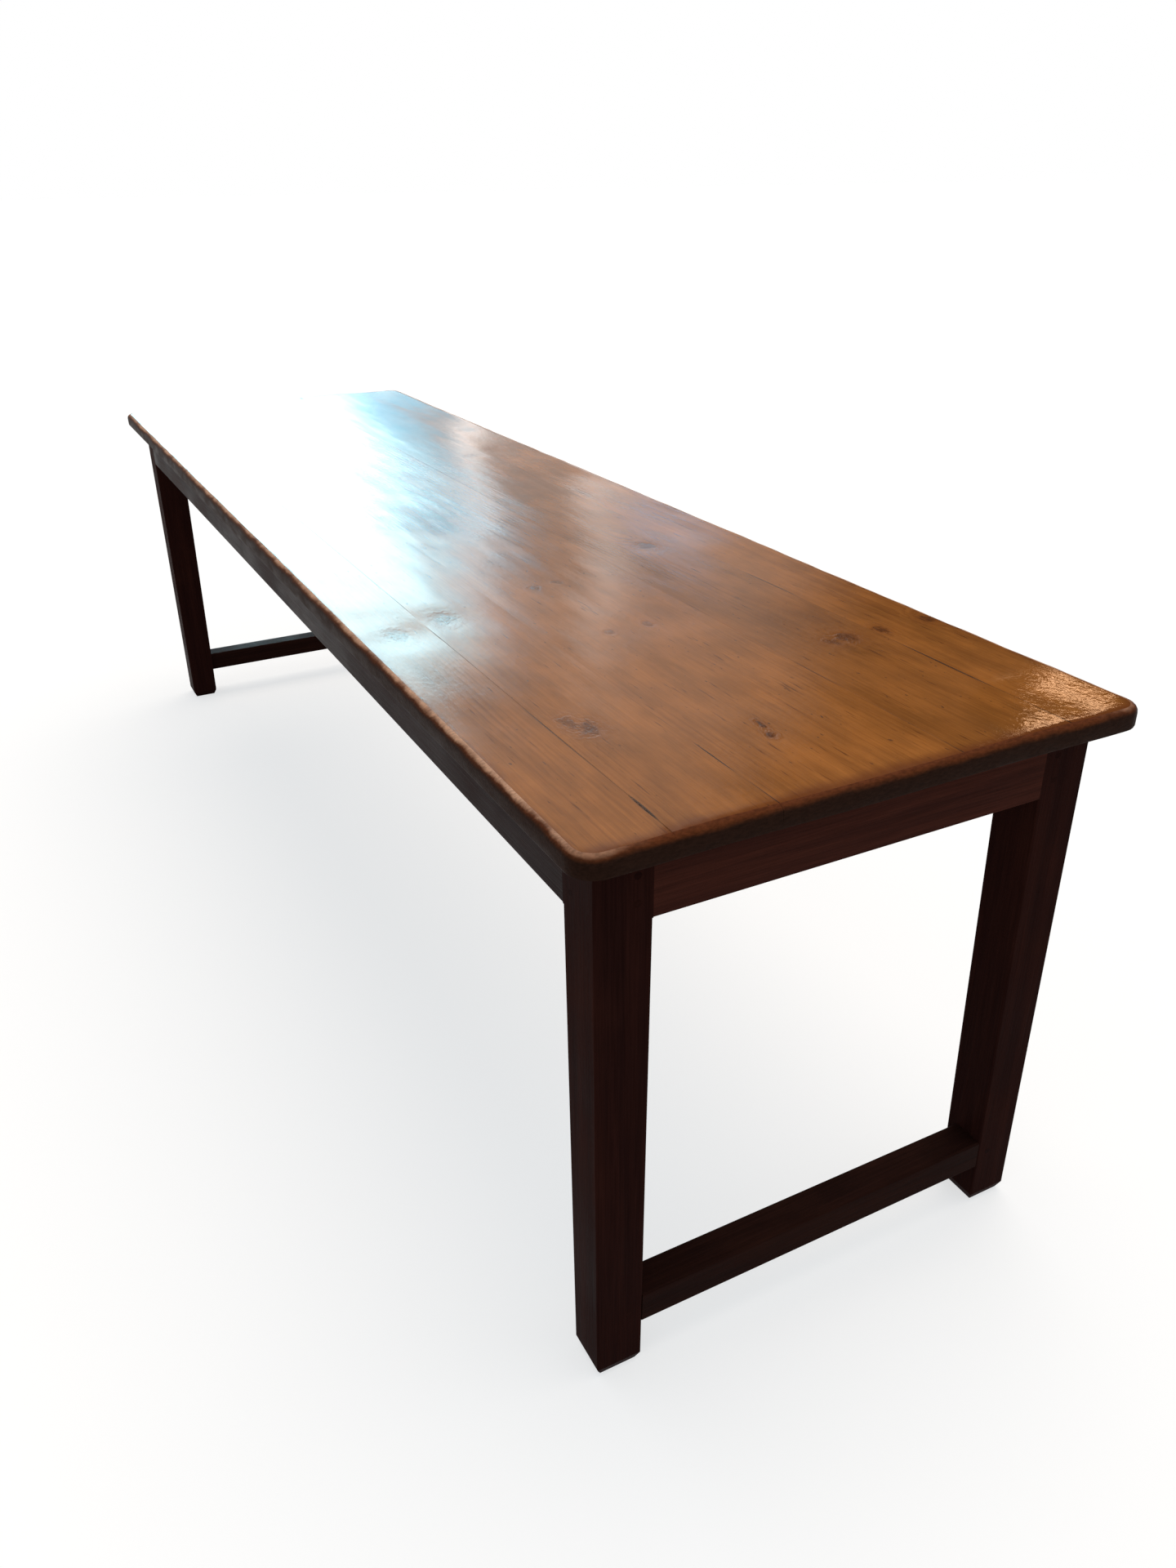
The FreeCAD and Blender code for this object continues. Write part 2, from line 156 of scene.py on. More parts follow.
def stretched_noise(finish, place, stretch, shift=0.0, detail=3.0, rough=0.55, output="Fac"):
    inputs = {"Vector": place, "Location": (shift, shift, shift), "Scale": stretch}
    moved = add_node(finish, "ShaderNodeMapping", inputs).outputs[0]
    inputs = {"Vector": moved, "Scale": 1.0, "Detail": detail, "Roughness": rough}
    return add_node(finish, "ShaderNodeTexNoise", inputs).outputs[output]


print("ramps, colours and noise ready")

# %% Helpers that begin and end a finish
def new_finish(name):
    finish = bpy.data.materials.new(name)
    finish.use_nodes = True
    return finish, finish.node_tree.nodes["Principled BSDF"]


def begin_finish(name):
    """A new finish with its shader, and the place of each point in the table."""
    finish, shader = new_finish(name)
    return finish, shader, add_node(finish, "ShaderNodeTexCoord").outputs["Object"]


def join_shader(finish, shader, colour, roughness, height, depth):
    bump = add_node(finish, "ShaderNodeBump", {"Height": height, "Distance": depth, "Strength": 1.0})
    for socket, name in ((colour, "Base Color"), (roughness, "Roughness"), (bump.outputs[0], "Normal")):
        finish.node_tree.links.new(socket, shader.inputs[name])


print("finishes can begin")

# %% [markdown]
# ## The boards as worn pieces
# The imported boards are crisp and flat. Boards that were scrubbed and leaned on for a century cup a
# little between their seams, dip where plates stood, and have soft, uneven edges. That could be
# painted on, but a gleam of light shows every hollow, so the boards are modelled again and stand for
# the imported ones. One slab is made and rounded as the joiner did, then five boards are sawn from it.

# %% Sizes of the top
BOARDS = [f"top_board_{number}" for number in range(1, 6)]
board_boxes = [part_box(name) for name in BOARDS]
TOP_UNDER = round(board_boxes[0][0].z, 4)
HALF_LENGTH, HALF_WIDTH, TOP_FACE = (round(reach, 4) for reach in board_boxes[-1][1])
CORNER_RADIUS = 0.030
UPPER_ROUND = 0.009
LOWER_ROUND = 0.003
# this far inside the outline, the face is flat
FLAT_INSET = UPPER_ROUND - 0.0005

# sides of the boards from front to back; neighbours share the middle of their seam
seams = [(left[1].y + right[0].y) / 2 for left, right in zip(board_boxes, board_boxes[1:])]
sides = [-HALF_WIDTH, *seams, HALF_WIDTH]


def inset(point):
    """How far inside the rounded outline of the top a point is."""
    beyond_end = max(abs(point.x) - HALF_LENGTH + CORNER_RADIUS, 0)
    beyond_side = max(abs(point.y) - HALF_WIDTH + CORNER_RADIUS, 0)
    return CORNER_RADIUS - math.hypot(beyond_end, beyond_side)


print("top", 2 * HALF_LENGTH, "by", 2 * HALF_WIDTH, "m, from", TOP_UNDER, "to", TOP_FACE)
print("board sides at", [round(side, 4) for side in sides])

# %% Tools that take up a piece, round its edges and cut across it
def take_up(piece):
    """Select one piece alone."""
    bpy.ops.object.select_all(action="DESELECT")
    piece.select_set(True)
    bpy.context.view_layer.objects.active = piece


def pick_edges(test):
    """In edit mode, select only the edges whose middle and direction pass the test."""
    bpy.ops.mesh.select_mode(type="EDGE")
    bpy.ops.mesh.select_all(action="DESELECT")
    shape = bmesh.from_edit_mesh(bpy.context.object.data)
    for edge in shape.edges:
        first, second = (corner.co for corner in edge.verts)
        edge.select_set(test((first + second) / 2, (second - first).normalized()))
    bmesh.update_edit_mesh(bpy.context.object.data)


def round_edges(test, radius, facets):
    pick_edges(test)
    bpy.ops.mesh.bevel(offset=radius, segments=facets, affect="EDGES")


def cut_across(places, normal):
    """In edit mode, cut new edges through the whole piece, one for each place along the normal."""
    for place in places:
        bpy.ops.mesh.select_all(action="SELECT")
        bpy.ops.mesh.bisect(plane_co=Vector(normal) * place, plane_no=normal)


print("edge tools ready")

# %% The glued slab
CROSS_CUTS = 149
CORNER_FACETS, UPPER_FACETS, LOWER_FACETS = 8, 5, 2
# an edge this steep is upright, and places nearer than a hair are the same
NEARLY_UPRIGHT = 0.9
HAIR = 1e-5

bpy.ops.object.select_all(action="DESELECT")
bpy.ops.mesh.primitive_cube_add(size=1, location=(0, 0, (TOP_FACE + TOP_UNDER) / 2))
slab = bpy.context.object
slab.scale = (2 * HALF_LENGTH, 2 * HALF_WIDTH, TOP_FACE - TOP_UNDER)
bpy.ops.object.transform_apply(location=True, rotation=True, scale=True)
bpy.ops.object.mode_set(mode="EDIT")
round_edges(lambda middle, run: abs(run.z) > NEARLY_UPRIGHT, CORNER_RADIUS, CORNER_FACETS)
round_edges(lambda middle, run: middle.z > TOP_FACE - HAIR, UPPER_ROUND, UPPER_FACETS)
round_edges(lambda middle, run: middle.z < TOP_UNDER + HAIR, LOWER_ROUND, LOWER_FACETS)
step = 2 * HALF_LENGTH / (CROSS_CUTS + 1)
cut_across([step * (number + 1) - HALF_LENGTH for number in range(CROSS_CUTS)], (1, 0, 0))
bpy.ops.object.mode_set(mode="OBJECT")
print("slab has", len(slab.data.polygons), "faces")

# %% Five boards sawn from the slab
SEAM_EASE = 0.0001
BOARD_CUT = 0.013


def saw_board(number):
    take_up(slab)
    bpy.ops.object.duplicate(linked=False)
    board = bpy.context.object
    board.name = board.data.name = f"worn_board_{number + 1}"
    low, high = sides[number:number + 2]
    sawn = [place for place in (low, high) if abs(place) < HALF_WIDTH]
    bpy.ops.object.mode_set(mode="EDIT")
    for place in sawn:
        bpy.ops.mesh.select_all(action="SELECT")
        bpy.ops.mesh.bisect(plane_co=(0, place, 0), plane_no=(0, 1, 0), use_fill=True,
                            clear_inner=place == low, clear_outer=place == high)
    round_edges(lambda middle, run: middle.z > TOP_FACE - HAIR
                and any(abs(middle.y - place) < HAIR for place in sawn), SEAM_EASE, 1)
    count = int((high - low) / BOARD_CUT)
    cut_across([low + (high - low) * (cut + 1) / (count + 1) for cut in range(count)], (0, 1, 0))
    bpy.ops.object.mode_set(mode="OBJECT")
    return board


worn_boards = [saw_board(number) for number in range(len(BOARDS))]
bpy.data.objects.remove(slab, do_unlink=True)
for board in worn_boards:
    print(board.name, len(board.data.polygons), "faces")

# %% [markdown]
# ## Cupping, dents and open seams
# Wood moves: each board bows by about a millimetre across its width, knots stand in shallow hollows,
# and two seams have opened where the ends dried out. The points could be moved by a formula, but
# proportional editing does it as a thumb would in clay: one point is pushed and its neighbours follow
# less and less. A cloud texture then adds the slow unevenness of a hand plane, and a finer one nibbles
# at the rounded edges.

# %% Bows, hollows and openings of the boards
BOWS = [-0.0008, 0.0007, -0.0010, 0.0007, -0.0008]
# place along, place across, push, reach
HOLLOWS = [
    [(0.640, -0.300, (0, 0, -0.0011), 0.075), (0.560, -0.330, (0, 0, -0.0006), 0.060),
     (1.212, -0.262, (0, -0.0009, 0), 0.035), (-0.560, -0.318, (0, 0, -0.0004), 0.040)],
    [(0.610, -0.235, (0, 0, -0.0010), 0.070), (1.019, -0.228, (0, 0, -0.0005), 0.040),
     (0.700, -0.190, (0, 0, 0.0005), 0.060), (-0.410, -0.200, (0, 0, -0.0004), 0.040)],
    [(1.118, -0.052, (0, 0, -0.0004), 0.030), (0.254, -0.103, (0, 0, -0.0007), 0.035),
     (0.029, -0.129, (0, 0, -0.0006), 0.030), (0.760, -0.030, (0, 0, -0.0004), 0.060),
     (-0.760, 0.030, (0, 0, -0.0005), 0.040)],
    [(0.434, 0.189, (0, 0, -0.0006), 0.050), (0.936, 0.190, (0, 0, -0.0004), 0.040),
     (1.100, 0.2485, (0, -0.0006, 0), 0.110), (-0.345, 0.204, (0, 0, -0.0004), 0.030)],
    [(0.929, 0.260, (0, 0, -0.0004), 0.030), (0.069, 0.265, (0, 0, -0.0005), 0.050),
     (1.215, 0.300, (0, 0, -0.0008), 0.080), (-0.620, 0.310, (0, 0, -0.0004), 0.040)],
]
print(sum(len(group) for group in HOLLOWS), "pushes for", len(BOWS), "boards")

# %% Push and wear the boards
# how near to the face a point lies on it, and how far down the edges are worn
FACE_SLACK = 1e-4
WORN_DEPTH = 0.012
PLANED_SIZE, PLANED_DEPTH = 0.17, 0.0014
NIBBLE_SIZE, NIBBLE_DEPTH = 0.045, 0.0013
SMOOTH_BELOW = math.radians(32)


def pull(chosen, push, reach):
    """In edit mode, move the chosen points and let the surface follow out to the reach."""
    bpy.ops.mesh.select_mode(type="VERT")
    bpy.ops.mesh.select_all(action="DESELECT")
    shape = bmesh.from_edit_mesh(bpy.context.object.data)
    for corner in chosen(shape.verts):
        corner.select_set(True)
    bmesh.update_edit_mesh(bpy.context.object.data)
    bpy.ops.transform.translate(value=push, use_proportional_edit=True, use_proportional_connected=True,
                                proportional_edit_falloff="SMOOTH", proportional_size=reach)


def cloud_wear(board, group, points, size, strength, direction):
    board.vertex_groups.new(name=group).add(points, 1.0, "REPLACE")
    clouds = bpy.data.textures.new(f"{board.name}_{group}", "CLOUDS")
    clouds.noise_scale = size
    clouds.noise_depth = 1
    wear = board.modifiers.new(group, "DISPLACE")
    wear.texture, wear.texture_coords = clouds, "LOCAL"
    wear.vertex_group = group
    wear.strength, wear.direction = strength, direction
    bpy.ops.object.modifier_apply(modifier=wear.name)


def wear_board(board, bow, hollows):
    take_up(board)
    widths = [p.co.y for p in board.data.vertices]
    middle, half = (max(widths) + min(widths)) / 2, (max(widths) - min(widths)) / 2

    def along_the_middle(points):
        face = [p for p in points if p.co.z > TOP_FACE - FACE_SLACK]
        return [p for p in face if abs(p.co.y - middle) < BOARD_CUT]

    bpy.ops.object.mode_set(mode="EDIT")
    pull(along_the_middle, (0, 0, bow), half)
    for along, aside, push, reach in hollows:
        spot = Vector((along, aside, TOP_FACE))
        pull(lambda points: [min(points, key=lambda p: (p.co - spot).length)], push, reach)
    bpy.ops.object.mode_set(mode="OBJECT")
    upper = [p for p in board.data.vertices if p.co.z > TOP_FACE - WORN_DEPTH]
    arris = [p.index for p in upper if inset(p.co) < FLAT_INSET]
    upper = [p.index for p in upper]
    cloud_wear(board, "upper", upper, PLANED_SIZE, PLANED_DEPTH, "Z")
    cloud_wear(board, "arris", arris, NIBBLE_SIZE, NIBBLE_DEPTH, "NORMAL")
    bpy.ops.object.shade_smooth_by_angle(angle=SMOOTH_BELOW)


for board, bow, hollows in zip(worn_boards, BOWS, HOLLOWS):
    wear_board(board, bow, hollows)
    heights = [p.co.z for p in board.data.vertices]
    print(board.name, "from", round(min(heights), 4), "to", round(max(heights), 4))

# %% [markdown]
# ## The pine of the top
# The real boards are old pine under wax: honey brown, with faint growth rings, dark blotched knots that
# push the grain aside, and a soft gloss. A striped picture could give the rings. Here each board is cut
# from its own imaginary log: rings are drawn round a slightly tilted log axis, and where the board's face
# cuts them they make the long arches that sawn pine really has. A knot lifts the rings round it like a
# hill on a map, so the grain flows past it.

# %% Logs, tones and knots of the five boards
# heart of the log beside and below the board's middle, ring width, tilt of the log in degrees
LOGS = [
    ((-0.030, -0.070), 0.0052, (0.35, 0.25)),
    ((0.015, -0.085), 0.0056, (-0.55, 0.20)),
    ((-0.020, -0.110), 0.0064, (0.80, -0.35)),
    ((0.040, -0.075), 0.0054, (-0.60, 0.30)),
    ((0.010, -0.095), 0.0058, (0.45, -0.20)),
]
TONES = [1.05, 1.04, 1.04, 0.87, 1.03]
# place along, place across, half length, half width, depth of colour
KNOTS = [
    [(0.640, -0.306, 0.022, 0.014, 0.6), (-0.560, -0.318, 0.014, 0.011, 0.7)],
    [(1.026, -0.222, 0.016, 0.012, 0.85), (1.000, -0.236, 0.015, 0.009, 0.7),
     (0.610, -0.228, 0.022, 0.016, 0.7), (-0.410, -0.200, 0.013, 0.010, 0.7)],
    [(1.104, -0.049, 0.010, 0.004, 1.0), (1.132, -0.056, 0.008, 0.005, 1.0),
     (0.759, 0.006, 0.010, 0.007, 0.6), (0.764, -0.056, 0.009, 0.007, 0.6),
     (0.534, -0.021, 0.009, 0.007, 0.6), (0.544, -0.061, 0.010, 0.008, 0.6),
     (-0.760, 0.030, 0.015, 0.012, 0.8)],
    [(0.934, 0.204, 0.016, 0.013, 0.75), (0.939, 0.176, 0.012, 0.009, 0.6),
     (0.434, 0.189, 0.018, 0.014, 0.9), (-0.345, 0.204, 0.010, 0.008, 0.8)],
    [(0.929, 0.262, 0.014, 0.009, 0.8), (0.927, 0.345, 0.015, 0.010, 0.8),
     (0.069, 0.265, 0.036, 0.005, 0.8), (-0.620, 0.310, 0.014, 0.011, 0.7)],
]
print(sum(len(group) for group in KNOTS), "knots placed on", len(BOARDS), "boards")

# %% Knots of one board
# how fast a spot fades below the face, how ragged its outline is, and how far it bends the rings
SPOT_FADE = 12.0
RAGGED = 0.35
RING_PUSH = 13.0


def away_from(finish, place, along, aside, half_length, half_width):
    """Distance from a spot on the top, as a share of the spot's own half sizes."""
    moved = vector_work(finish, "SUBTRACT", place, (along, aside, TOP_FACE))
    sized = vector_work(finish, "MULTIPLY", moved, (1 / half_length, 1 / half_width, SPOT_FADE))
    return length_of(finish, sized)


def knot_masks(finish, place, knots):
    """Give the hill that bends the rings, the dark blotched figure and the halo of a board's knots."""
    ragged = stretched_noise(finish, place, (90, 140, 140), detail=3.0)
    wobble = ramp_between(finish, ragged, 0.25, 0.75, -RAGGED, RAGGED)
    blotch = stretched_noise(finish, place, (110, 170, 170), 4.4, detail=2.0)
    blotch = ramp_between(finish, blotch, 0.36, 0.60, 0.62, 1.0)
    hill, figure, halo = 0.0, 0.0, 0.0
    for *spot, depth in knots:
        reach = work_out(finish, "ADD", away_from(finish, place, *spot), wobble)
        hill = work_out(finish, "ADD", ramp_between(finish, reach, 0.0, 3.8, RING_PUSH, 0.0), hill)
        figure = work_out(finish, "MAXIMUM", ramp_between(finish, reach, 1.30, 0.60, 0.0, depth), figure)
        halo = work_out(finish, "MAXIMUM", ramp_between(finish, reach, 2.8, 0.9, 0.0, depth), halo)
    return hill, work_out(finish, "MULTIPLY", figure, blotch), halo


print("knot maker ready")

# %% Rings of one board
# how far the log axis wanders, how much the rings drift, and radians to the metre at a wave scale of 1
WANDER = (0.0, 0.022, 0.036)
YEAR_DRIFT = 9.0
WAVE_RATE = 20


def growth_rings(finish, place, middle, log, hill, shift):
    """Draw saw-toothed rings round a wandering log axis; the hill of the knots moves them on."""
    (aside, below), ring_width, (tilt, swing) = log
    wander = stretched_noise(finish, place, (1.1, 7.0, 7.0), shift, detail=2.0, output="Color")
    wander = vector_work(finish, "SUBTRACT", wander, (0.5, 0.5, 0.5))
    grown = vector_work(finish, "ADD", place, vector_work(finish, "MULTIPLY", wander, WANDER))
    heart = vector_work(finish, "SUBTRACT", grown, (0.0, middle + aside, TOP_FACE + below))
    turned = add_node(finish, "ShaderNodeMapping",
                      {"Vector": heart, "Rotation": (0.0, math.radians(tilt), math.radians(swing))})
    good_years = stretched_noise(finish, place, (0.7, 26.0, 26.0), shift + 0.6, detail=2.0)
    inputs = {"Vector": turned.outputs[0], "Scale": 2 * math.pi / (WAVE_RATE * ring_width),
              "Distortion": 1.4, "Detail": 2.0, "Detail Scale": 0.35,
              "Phase Offset": add_share(finish, hill, good_years, YEAR_DRIFT)}
    saw = add_node(finish, "ShaderNodeTexWave", inputs, wave_type="RINGS", rings_direction="X",
                   wave_profile="SAW").outputs["Fac"]
    slow_rise = ramp_between(finish, saw, 0.25, 0.90)
    quick_fall = ramp_between(finish, saw, 1.0, 0.90)
    dark = work_out(finish, "MULTIPLY", slow_rise, quick_fall)
    fade = stretched_noise(finish, place, (1.6, 9.0, 9.0), shift + 1.3)
    return work_out(finish, "MULTIPLY", dark, ramp_between(finish, fade, 0.35, 0.75, 0.05, 0.50))


print("ring maker ready")

# %% [markdown]
# ## Dirt and darker ends on the pine
# Dark wax collects where a cloth can't reach: in the seams near the ends and in small pits. The face
# also turns darker and browner towards the two ends, and in a narrow line just inside the rounding on all
# sides. Dirt drawn as even lines would look ruled, so every line is broken up by noise.

# %% Dirt in the seams
# stretches of seam that are full of dirt: place along, place across, half length, half width
FULL_SEAMS = [(1.212, sides[1], 0.034, 0.0022), (1.150, sides[2], 0.050, 0.0012),
              (1.070, sides[4], 0.100, 0.0019), (0.700, sides[4], 0.080, 0.0014)]
SEAM_REACH = 0.004


def seam_dirt(finish, place, parts, low, high, shift):
    near_seam = work_out(finish, "MINIMUM", work_out(finish, "SUBTRACT", parts["Y"], low),
                         work_out(finish, "SUBTRACT", high, parts["Y"]))
    broken = stretched_noise(finish, place, (4.0, 1.0, 1.0), shift + 2.2, detail=4.0)
    at_ends = ramp_between(finish, work_out(finish, "ABSOLUTE", parts["X"]), 0.80, 1.20, 0.0, 0.08)
    broken = ramp_between(finish, work_out(finish, "ADD", broken, at_ends), 0.53, 0.74, 0.0, 0.85)
    dirt = work_out(finish, "MULTIPLY", ramp_between(finish, near_seam, 0.0020, 0.0006), broken)
    for spot in FULL_SEAMS:
        if low - SEAM_REACH < spot[1] < high + SEAM_REACH:
            filled = ramp_between(finish, away_from(finish, place, *spot), 1.0, 0.6, 0.0, 0.9)
            dirt = work_out(finish, "MAXIMUM", dirt, filled)
    return dirt


print(len(FULL_SEAMS), "stretches of seam are full of dirt")

# %% Browner ends
def distance_from_edge(finish, parts):
    """How far in from the rounded outline of the top a point is, up to the corner radius."""
    beyond = []
    for axis, reach in (("X", HALF_LENGTH), ("Y", HALF_WIDTH)):
        out = work_out(finish, "ABSOLUTE", parts[axis])
        out = work_out(finish, "SUBTRACT", out, reach - CORNER_RADIUS)
        beyond.append(work_out(finish, "MAXIMUM", out, 0.0))
    both = add_node(finish, "ShaderNodeCombineXYZ", {0: beyond[0], 1: beyond[1]}).outputs[0]
    return work_out(finish, "SUBTRACT", CORNER_RADIUS, length_of(finish, both))


def browner_ends(finish, parts, shake):
    """Browning towards the two ends, and a narrow line where the rounding starts on all sides."""
    from_end = work_out(finish, "SUBTRACT", HALF_LENGTH, work_out(finish, "ABSOLUTE", parts["X"]))
    wide = ramp_between(finish, work_out(finish, "ADD", from_end, shake), 0.031, 0.008, 0.0, 0.85)
    inside = work_out(finish, "ADD", distance_from_edge(finish, parts), shake)
    return work_out(finish, "MAXIMUM", wide, ramp_between(finish, inside, 0.0140, 0.0080, 0.0, 0.45))


print("browning ready")

# %% [markdown]
# ## The waxed face
# Under the wax the colour drifts from honey to amber in soft clouds, with faint streaks of fibre. One
# even gloss would look like plastic, so the gloss drifts with the clouds, and the surface itself has
# ripples round the knots, a slow swell and the fine peel of many coats of wax. One corner, which hands
# have rubbed more than the rest, is smoother and more polished.

# %% Grain and clean colour of one board
PALE_PINE = (0.310, 0.108, 0.020)
RING_PINE = (0.195, 0.058, 0.010)
KNOT_PINE = (0.060, 0.015, 0.004)


def board_grain(finish, place, number, shift):
    """The patterns of one board: its knots, rings, fibre and two sizes of cloud."""
    hill, figure, halo = knot_masks(finish, place, KNOTS[number])
    middle = (sides[number] + sides[number + 1]) / 2
    return SimpleNamespace(
        hill=hill,
        figure=figure,
        halo=halo,
        late_wood=growth_rings(finish, place, middle, LOGS[number], hill, shift),
        fibre=stretched_noise(finish, place, (9.0, 420.0, 420.0), shift, detail=4.0, rough=0.7),
        patina=stretched_noise(finish, place, (2.6, 5.5, 5.5), 5.1, detail=5.0),
        mottle=stretched_noise(finish, place, (13.0, 30.0, 30.0), shift + 7.0, detail=4.0),
    )


def clean_colour(finish, grain, tone):
    colour = mix_colours(finish, grain.late_wood, PALE_PINE, RING_PINE)
    drifts = ((grain.fibre, 0.84, 1.10), (grain.patina, 0.78, 1.18), (grain.mottle, 0.84, 1.14))
    for cloud, least, most in drifts:
        colour = tinted(finish, colour, ramp_between(finish, cloud, 0.25, 0.75, least, most))
    colour = tinted(finish, colour, (tone, tone, tone))
    colour = mix_colours(finish, work_out(finish, "MULTIPLY", grain.halo, 0.55), colour, RING_PINE)
    return mix_colours(finish, work_out(finish, "MULTIPLY", grain.figure, 0.85), colour, KNOT_PINE)


print("clean pine ready")

# %% The finish of the waxed face
# the darker brown the face turns towards its two ends and just inside the rounding
END_BROWN_PINE = (0.135, 0.036, 0.009)
DIRT = (0.020, 0.009, 0.005)
# the corner that hands have polished: place along, place across, half length, half width
POLISHED_CORNER = (1.220, 0.290, 0.110, 0.150)
# step from one board's noise to the next, unevenness of the browned line, and depth of the wax's swell
BOARD_SHIFT = 3.7
SHAKE = 0.004
WAX_DEPTH = 0.0012


def face_height(finish, place, grain, polished, shift):
    swell = stretched_noise(finish, place, (4.0, 22.0, 22.0), shift + 8.0, detail=1.0)
    peel = stretched_noise(finish, place, (110.0, 150.0, 150.0), shift + 9.0, detail=2.0)
    ripple = work_out(finish, "MULTIPLY", work_out(finish, "SINE", grain.hill), grain.halo)
    height = work_out(finish, "MULTIPLY", swell, 0.7)
    for part, share in ((grain.late_wood, 0.05), (grain.fibre, 0.07), (ripple, 0.08)):
        height = add_share(finish, height, part, share)
    height = work_out(finish, "MULTIPLY", height, ramp_between(finish, polished, 0.0, 1.0, 1.0, 0.20))
    return add_share(finish, height, peel, ramp_between(finish, polished, 0.0, 1.0, 0.09, 0.14))


def pine_finish(number):
    shift = BOARD_SHIFT * (number + 1)
    finish, shader, place = begin_finish(f"waxed_pine_{number + 1}")
    parts = split_axes(finish, place)
    grain = board_grain(finish, place, number, shift)

    colour = clean_colour(finish, grain, TONES[number])
    dashes = stretched_noise(finish, place, (17.0, 260.0, 260.0), shift + 4.0, detail=2.0)
    colour = mix_colours(finish, ramp_between(finish, dashes, 0.64, 0.78, 0.0, 0.75), colour, KNOT_PINE)
    shake = ramp_between(finish, grain.mottle, 0.2, 0.8, -SHAKE, SHAKE)
    colour = mix_colours(finish, browner_ends(finish, parts, shake), colour, END_BROWN_PINE)
    seam = seam_dirt(finish, place, parts, sides[number], sides[number + 1], shift)
    specks = stretched_noise(finish, place, (75.0, 210.0, 210.0), shift + 6.0, detail=1.0)
    dirty = work_out(finish, "MAXIMUM", seam, ramp_between(finish, specks, 0.73, 0.80, 0.0, 0.65))
    colour = mix_colours(finish, dirty, colour, DIRT)

    gloss = ramp_between(finish, grain.patina, 0.3, 0.7, 0.12, 0.19)
    for part, share in ((grain.late_wood, -0.03), (dirty, 0.10), (grain.fibre, 0.03)):
        gloss = add_share(finish, gloss, part, share)
    polished = ramp_between(finish, away_from(finish, place, *POLISHED_CORNER), 1.0, 0.6)
    gloss = work_out(finish, "MULTIPLY", gloss, ramp_between(finish, polished, 0.0, 1.0, 1.0, 0.38))
    height = face_height(finish, place, grain, polished, shift)
    join_shader(finish, shader, colour, gloss, height, WAX_DEPTH)
    return finish


print("waxed face ready")

# %% [markdown]
# ## Edges and underside of the boards
# The rounded edges are painted dark brown as painted shade and hardly shine; a red band of painted
# shade lies high on the rounding, and a painted amber highlight runs along the upper arris. The underside
# was never waxed at all. Both could be painted into the face's finish, but their shine differs as much as
# their colour, so each gets a finish of its own.

# %% The edge with painted shade and highlight
# painted shade: dark brown on the rounded edges and a red band high on them; painted highlight: amber on
# the upper arris
EDGE_SHADE_BROWN = (0.0290, 0.0124, 0.0078)
EDGE_SHADE_RED = (0.105, 0.029, 0.010)
ARRIS_HIGHLIGHT_AMBER = (0.480, 0.270, 0.170)
EDGE_SHINE = 0.012
EDGE_DEPTH = 0.0008
EDGE_BAND_WAVE = 0.0020


def edge_finish():
    finish, shader, place = begin_finish("shaded_edge_with_highlight")
    parts = split_axes(finish, place)
    fibre = stretched_noise(finish, place, (300.0, 160.0, 420.0), 1.0, detail=3.0)
    clouds = stretched_noise(finish, place, (22.0, 22.0, 60.0), 2.0, detail=4.0)
    wave = ramp_between(finish, clouds, 0.2, 0.8, -EDGE_BAND_WAVE, EDGE_BAND_WAVE)
    height_up = work_out(finish, "ADD", parts["Z"], wave)
    # painted shade: the red band high on the rounding, over the dark brown
    red = ramp_between(finish, height_up, TOP_FACE - 0.0075, TOP_FACE - 0.0010)
    # painted highlight: amber along the upper arris, full on the long sides, weaker round the corners,
    # none along the ends
    amber = ramp_between(finish, height_up, TOP_FACE - 0.0035, TOP_FACE + 0.0003)
    along, aside = (work_out(finish, "ABSOLUTE", parts[axis]) for axis in ("X", "Y"))
    on_long_side = ramp_between(finish, along, HALF_LENGTH - 0.020, HALF_LENGTH - 0.050)
    at_corner = ramp_between(finish, aside, HALF_WIDTH - 0.084, HALF_WIDTH - 0.024, 0.0, 0.45)
    wear_and_highlight = work_out(finish, "MAXIMUM", on_long_side, at_corner)

    colour = mix_colours(finish, red, EDGE_SHADE_BROWN, EDGE_SHADE_RED)
    colour = mix_colours(finish, work_out(finish, "MULTIPLY", amber, wear_and_highlight), colour, ARRIS_HIGHLIGHT_AMBER)
    colour = tinted(finish, colour, ramp_between(finish, fibre, 0.25, 0.75, 0.75, 1.25))
    gloss = ramp_between(finish, clouds, 0.3, 0.7, 0.36, 0.52)
    shader.inputs["Specular IOR Level"].default_value = EDGE_SHINE
    join_shader(finish, shader, colour, gloss, add_share(finish, clouds, fibre, 0.4), EDGE_DEPTH)
    return finish


shaded_edge_with_highlight = edge_finish()
print(shaded_edge_with_highlight.name, "ready")

# %% The raw underside
BARE_PINE = (0.300, 0.185, 0.095)
OLD_PINE = (0.165, 0.088, 0.040)
RAW_DEPTH = 0.0006


def underside_finish():
    finish, shader, place = begin_finish("raw_underside")
    bands = stretched_noise(finish, place, (2.2, 45.0, 45.0), 5.0, detail=4.0)
    fibre = stretched_noise(finish, place, (12.0, 420.0, 420.0), 3.0, rough=0.7)
    colour = mix_colours(finish, ramp_between(finish, bands, 0.35, 0.72), BARE_PINE, OLD_PINE)
    colour = tinted(finish, colour, ramp_between(finish, fibre, 0.25, 0.75, 0.75, 1.2))
    gloss = ramp_between(finish, bands, 0.2, 0.8, 0.65, 0.82)
    join_shader(finish, shader, colour, gloss, work_out(finish, "ADD", bands, fibre), RAW_DEPTH)
    return finish


raw_underside = underside_finish()
print(raw_underside.name, "ready")

